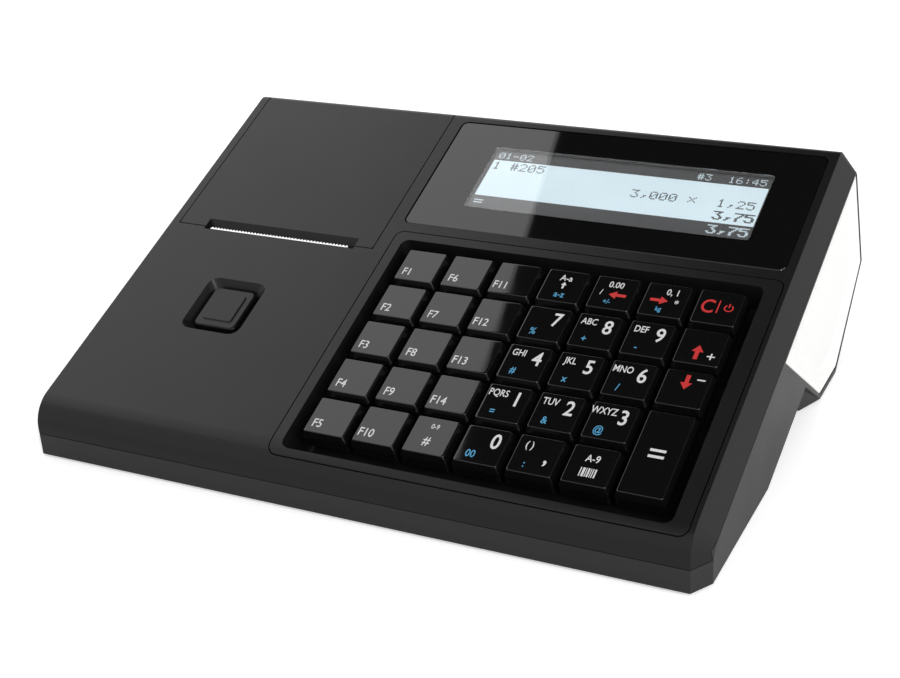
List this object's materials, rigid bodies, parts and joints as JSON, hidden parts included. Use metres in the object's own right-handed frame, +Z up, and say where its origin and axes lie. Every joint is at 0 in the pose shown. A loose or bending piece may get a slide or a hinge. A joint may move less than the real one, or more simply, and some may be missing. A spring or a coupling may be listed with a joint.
{
  "type": "ticket register",
  "caption": "Wedge-shaped table till with a sloping deck: sprung keys in a well, display window, printer lid with paper slot, release button and white side covers.",
  "frame": {"origin": "centre of the footprint, on the surface that the feet stand on", "axes": "+X to the user's right, +Y to the back, +Z up"},
  "size_m": [0.26, 0.1938, 0.0845],
  "materials": {
    "shell": "fine-grained matte black moulding",
    "side_wall": "matte black moulding",
    "cover_white": "satin white moulding",
    "window_gloss": "black gloss window",
    "key_gloss": "glossy black key cap",
    "silicone": "matte silicone",
    "board": "green board",
    "plated_metal": "plated steel",
    "tear_steel": "bright steel",
    "frame_plastic": "dark grey moulding",
    "gear_plastic": "natural acetal",
    "rubber": "black rubber"
  },
  "bodies": {
    "casing": {"lower_housing": "side_wall", "upper_housing": "shell", "keyboard_bezel": "shell", "display_window": "window_gloss", "display_module": "plated_metal", "key_mat": "silicone", "main_board": "board", "feed_motor": "plated_metal", "thermal_head": "plated_metal", "printer_frame": "frame_plastic", "tear_bar": "tear_steel", "side_cover_right": "cover_white", "side_cover_left": "cover_white", "foot_front_left": "rubber", "foot_front_right": "rubber", "foot_rear_left": "rubber", "foot_rear_right": "rubber", "port_block": "gear_plastic"},
    "lid": {"printer_lid": "shell"},
    "platen": {"platen_shaft": "plated_metal", "platen_roller": "rubber", "platen_gear": "gear_plastic"},
    "idler": {"idler_gear": "gear_plastic"},
    "pinion": {"motor_pinion": "gear_plastic"},
    "button": {"release_button": "shell"},
    "lifter": {"lid_lifter": "frame_plastic"},
    "key_r1_c1_body": {"key_r1_c1": "key_gloss"},
    "key_r1_c2_body": {"key_r1_c2": "key_gloss"},
    "key_r1_c3_body": {"key_r1_c3": "key_gloss"},
    "key_r1_c4_body": {"key_r1_c4": "key_gloss"},
    "key_r1_c5_body": {"key_r1_c5": "key_gloss"},
    "key_r1_c6_body": {"key_r1_c6": "key_gloss"},
    "key_r1_c7_body": {"key_r1_c7": "key_gloss"},
    "key_r2_c1_body": {"key_r2_c1": "key_gloss"},
    "key_r2_c2_body": {"key_r2_c2": "key_gloss"},
    "key_r2_c3_body": {"key_r2_c3": "key_gloss"},
    "key_r2_c4_body": {"key_r2_c4": "key_gloss"},
    "key_r2_c5_body": {"key_r2_c5": "key_gloss"},
    "key_r2_c6_body": {"key_r2_c6": "key_gloss"},
    "key_r2_c7_body": {"key_r2_c7": "key_gloss"},
    "key_r3_c1_body": {"key_r3_c1": "key_gloss"},
    "key_r3_c2_body": {"key_r3_c2": "key_gloss"},
    "key_r3_c3_body": {"key_r3_c3": "key_gloss"},
    "key_r3_c4_body": {"key_r3_c4": "key_gloss"},
    "key_r3_c5_body": {"key_r3_c5": "key_gloss"},
    "key_r3_c6_body": {"key_r3_c6": "key_gloss"},
    "key_r3_c7_body": {"key_r3_c7": "key_gloss"},
    "key_r4_c1_body": {"key_r4_c1": "key_gloss"},
    "key_r4_c2_body": {"key_r4_c2": "key_gloss"},
    "key_r4_c3_body": {"key_r4_c3": "key_gloss"},
    "key_r4_c4_body": {"key_r4_c4": "key_gloss"},
    "key_r4_c5_body": {"key_r4_c5": "key_gloss"},
    "key_r4_c6_body": {"key_r4_c6": "key_gloss"},
    "key_r4_c7_tall_body": {"key_r4_c7_tall": "key_gloss"},
    "key_r5_c1_body": {"key_r5_c1": "key_gloss"},
    "key_r5_c2_body": {"key_r5_c2": "key_gloss"},
    "key_r5_c3_body": {"key_r5_c3": "key_gloss"},
    "key_r5_c4_body": {"key_r5_c4": "key_gloss"},
    "key_r5_c5_body": {"key_r5_c5": "key_gloss"},
    "key_r5_c6_body": {"key_r5_c6": "key_gloss"}
  },
  "joints": [
    {"name": "lid_hinge", "type": "hinge", "parent": "casing", "child": "lid", "pos_m": [0, 0.07506, 0.08091], "axis": [-1, 0, 0], "range_deg": [0, 95]},
    {"name": "platen_spin", "type": "hinge", "parent": "lid", "child": "platen", "pos_m": [-0.075, 0.00905, 0.04819], "axis": [1, 0, 0], "continuous": true},
    {"name": "idler_spin", "type": "hinge", "parent": "casing", "child": "idler", "pos_m": [-0.1135, 0.01349, 0.03639], "axis": [1, 0, 0], "continuous": true},
    {"name": "pinion_spin", "type": "hinge", "parent": "casing", "child": "pinion", "pos_m": [-0.1135, 0.00517, 0.02999], "axis": [1, 0, 0], "continuous": true},
    {"name": "button_press", "type": "slide", "parent": "casing", "child": "button", "axis": [0, 0.3518, -0.9361], "range_m": [0, 0.002], "stiffness_N_per_m": 400, "springref_m": -0.002},
    {"name": "lifter_rock", "type": "hinge", "parent": "casing", "child": "lifter", "pos_m": [-0.0416, -0.00656, 0.02977], "axis": [1, 0, 0], "range_deg": [0, 4.63]},
    {"name": "key_r1_c1_press", "type": "slide", "parent": "casing", "child": "key_r1_c1_body", "axis": [0, 0.3518, -0.9361], "range_m": [0, 0.0025], "stiffness_N_per_m": 150, "springref_m": -0.003},
    {"name": "key_r1_c2_press", "type": "slide", "parent": "casing", "child": "key_r1_c2_body", "axis": [0, 0.3518, -0.9361], "range_m": [0, 0.0025], "stiffness_N_per_m": 150, "springref_m": -0.003},
    {"name": "key_r1_c3_press", "type": "slide", "parent": "casing", "child": "key_r1_c3_body", "axis": [0, 0.3518, -0.9361], "range_m": [0, 0.0025], "stiffness_N_per_m": 150, "springref_m": -0.003},
    {"name": "key_r1_c4_press", "type": "slide", "parent": "casing", "child": "key_r1_c4_body", "axis": [0, 0.3518, -0.9361], "range_m": [0, 0.0025], "stiffness_N_per_m": 150, "springref_m": -0.003},
    {"name": "key_r1_c5_press", "type": "slide", "parent": "casing", "child": "key_r1_c5_body", "axis": [0, 0.3518, -0.9361], "range_m": [0, 0.0025], "stiffness_N_per_m": 150, "springref_m": -0.003},
    {"name": "key_r1_c6_press", "type": "slide", "parent": "casing", "child": "key_r1_c6_body", "axis": [0, 0.3518, -0.9361], "range_m": [0, 0.0025], "stiffness_N_per_m": 150, "springref_m": -0.003},
    {"name": "key_r1_c7_press", "type": "slide", "parent": "casing", "child": "key_r1_c7_body", "axis": [0, 0.3518, -0.9361], "range_m": [0, 0.0025], "stiffness_N_per_m": 150, "springref_m": -0.003},
    {"name": "key_r2_c1_press", "type": "slide", "parent": "casing", "child": "key_r2_c1_body", "axis": [0, 0.3518, -0.9361], "range_m": [0, 0.0025], "stiffness_N_per_m": 150, "springref_m": -0.003},
    {"name": "key_r2_c2_press", "type": "slide", "parent": "casing", "child": "key_r2_c2_body", "axis": [0, 0.3518, -0.9361], "range_m": [0, 0.0025], "stiffness_N_per_m": 150, "springref_m": -0.003},
    {"name": "key_r2_c3_press", "type": "slide", "parent": "casing", "child": "key_r2_c3_body", "axis": [0, 0.3518, -0.9361], "range_m": [0, 0.0025], "stiffness_N_per_m": 150, "springref_m": -0.003},
    {"name": "key_r2_c4_press", "type": "slide", "parent": "casing", "child": "key_r2_c4_body", "axis": [0, 0.3518, -0.9361], "range_m": [0, 0.0025], "stiffness_N_per_m": 150, "springref_m": -0.003},
    {"name": "key_r2_c5_press", "type": "slide", "parent": "casing", "child": "key_r2_c5_body", "axis": [0, 0.3518, -0.9361], "range_m": [0, 0.0025], "stiffness_N_per_m": 150, "springref_m": -0.003},
    {"name": "key_r2_c6_press", "type": "slide", "parent": "casing", "child": "key_r2_c6_body", "axis": [0, 0.3518, -0.9361], "range_m": [0, 0.0025], "stiffness_N_per_m": 150, "springref_m": -0.003},
    {"name": "key_r2_c7_press", "type": "slide", "parent": "casing", "child": "key_r2_c7_body", "axis": [0, 0.3518, -0.9361], "range_m": [0, 0.0025], "stiffness_N_per_m": 150, "springref_m": -0.003},
    {"name": "key_r3_c1_press", "type": "slide", "parent": "casing", "child": "key_r3_c1_body", "axis": [0, 0.3518, -0.9361], "range_m": [0, 0.0025], "stiffness_N_per_m": 150, "springref_m": -0.003},
    {"name": "key_r3_c2_press", "type": "slide", "parent": "casing", "child": "key_r3_c2_body", "axis": [0, 0.3518, -0.9361], "range_m": [0, 0.0025], "stiffness_N_per_m": 150, "springref_m": -0.003},
    {"name": "key_r3_c3_press", "type": "slide", "parent": "casing", "child": "key_r3_c3_body", "axis": [0, 0.3518, -0.9361], "range_m": [0, 0.0025], "stiffness_N_per_m": 150, "springref_m": -0.003},
    {"name": "key_r3_c4_press", "type": "slide", "parent": "casing", "child": "key_r3_c4_body", "axis": [0, 0.3518, -0.9361], "range_m": [0, 0.0025], "stiffness_N_per_m": 150, "springref_m": -0.003},
    {"name": "key_r3_c5_press", "type": "slide", "parent": "casing", "child": "key_r3_c5_body", "axis": [0, 0.3518, -0.9361], "range_m": [0, 0.0025], "stiffness_N_per_m": 150, "springref_m": -0.003},
    {"name": "key_r3_c6_press", "type": "slide", "parent": "casing", "child": "key_r3_c6_body", "axis": [0, 0.3518, -0.9361], "range_m": [0, 0.0025], "stiffness_N_per_m": 150, "springref_m": -0.003},
    {"name": "key_r3_c7_press", "type": "slide", "parent": "casing", "child": "key_r3_c7_body", "axis": [0, 0.3518, -0.9361], "range_m": [0, 0.0025], "stiffness_N_per_m": 150, "springref_m": -0.003},
    {"name": "key_r4_c1_press", "type": "slide", "parent": "casing", "child": "key_r4_c1_body", "axis": [0, 0.3518, -0.9361], "range_m": [0, 0.0025], "stiffness_N_per_m": 150, "springref_m": -0.003},
    {"name": "key_r4_c2_press", "type": "slide", "parent": "casing", "child": "key_r4_c2_body", "axis": [0, 0.3518, -0.9361], "range_m": [0, 0.0025], "stiffness_N_per_m": 150, "springref_m": -0.003},
    {"name": "key_r4_c3_press", "type": "slide", "parent": "casing", "child": "key_r4_c3_body", "axis": [0, 0.3518, -0.9361], "range_m": [0, 0.0025], "stiffness_N_per_m": 150, "springref_m": -0.003},
    {"name": "key_r4_c4_press", "type": "slide", "parent": "casing", "child": "key_r4_c4_body", "axis": [0, 0.3518, -0.9361], "range_m": [0, 0.0025], "stiffness_N_per_m": 150, "springref_m": -0.003},
    {"name": "key_r4_c5_press", "type": "slide", "parent": "casing", "child": "key_r4_c5_body", "axis": [0, 0.3518, -0.9361], "range_m": [0, 0.0025], "stiffness_N_per_m": 150, "springref_m": -0.003},
    {"name": "key_r4_c6_press", "type": "slide", "parent": "casing", "child": "key_r4_c6_body", "axis": [0, 0.3518, -0.9361], "range_m": [0, 0.0025], "stiffness_N_per_m": 150, "springref_m": -0.003},
    {"name": "key_r4_c7_tall_press", "type": "slide", "parent": "casing", "child": "key_r4_c7_tall_body", "axis": [0, 0.3518, -0.9361], "range_m": [0, 0.0025], "stiffness_N_per_m": 150, "springref_m": -0.003},
    {"name": "key_r5_c1_press", "type": "slide", "parent": "casing", "child": "key_r5_c1_body", "axis": [0, 0.3518, -0.9361], "range_m": [0, 0.0025], "stiffness_N_per_m": 150, "springref_m": -0.003},
    {"name": "key_r5_c2_press", "type": "slide", "parent": "casing", "child": "key_r5_c2_body", "axis": [0, 0.3518, -0.9361], "range_m": [0, 0.0025], "stiffness_N_per_m": 150, "springref_m": -0.003},
    {"name": "key_r5_c3_press", "type": "slide", "parent": "casing", "child": "key_r5_c3_body", "axis": [0, 0.3518, -0.9361], "range_m": [0, 0.0025], "stiffness_N_per_m": 150, "springref_m": -0.003},
    {"name": "key_r5_c4_press", "type": "slide", "parent": "casing", "child": "key_r5_c4_body", "axis": [0, 0.3518, -0.9361], "range_m": [0, 0.0025], "stiffness_N_per_m": 150, "springref_m": -0.003},
    {"name": "key_r5_c5_press", "type": "slide", "parent": "casing", "child": "key_r5_c5_body", "axis": [0, 0.3518, -0.9361], "range_m": [0, 0.0025], "stiffness_N_per_m": 150, "springref_m": -0.003},
    {"name": "key_r5_c6_press", "type": "slide", "parent": "casing", "child": "key_r5_c6_body", "axis": [0, 0.3518, -0.9361], "range_m": [0, 0.0025], "stiffness_N_per_m": 150, "springref_m": -0.003}
  ],
  "couplings": [
    {"joint": "idler_spin", "follows": "platen_spin", "ratio": -0.8},
    {"joint": "pinion_spin", "follows": "platen_spin", "ratio": 1.6},
    {"joint": "lifter_rock", "follows": "button_press", "rad_per_m": 40.323}
  ]
}
